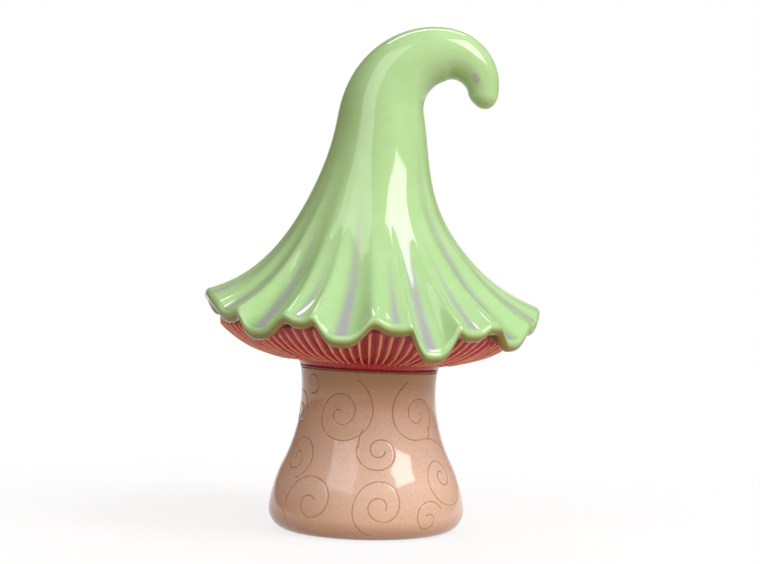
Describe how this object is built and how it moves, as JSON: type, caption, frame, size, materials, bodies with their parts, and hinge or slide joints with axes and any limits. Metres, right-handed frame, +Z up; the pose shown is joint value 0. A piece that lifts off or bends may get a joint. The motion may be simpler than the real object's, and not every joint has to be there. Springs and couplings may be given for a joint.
{
  "type": "ceramic mushroom ornament",
  "caption": "Free-standing glazed ceramic mushroom: fluted hood with a curled tip and lobed lip, ribbed gill bowl, flared stem with spiral scrolls.",
  "frame": {"origin": "on the stem's axis, in the plane that the foot ring stands on", "axes": "+Z up the stem; +X is the side that the hood's tip curls towards; -Y is the front, with the scrolls"},
  "size_m": [0.1326, 0.1326, 0.1997],
  "materials": {
    "green_glaze": "gloss green glaze with brushed grey-lilac streaks in the furrows",
    "crimson_glaze": "gloss crimson glaze, thin and pale over the rib crests",
    "buff_glaze": "gloss pinkish-tan glaze with fine specks and brown-filled incised scrolls",
    "dark_slip": "dark crimson glaze pooled on the joint",
    "bare_slip": "unglazed fired slip"
  },
  "bodies": {
    "root": {"hood": "green_glaze", "gill_bowl": "crimson_glaze", "stem": "buff_glaze", "neck_slip": "dark_slip", "rim_slip": "bare_slip"}
  },
  "joints": []
}
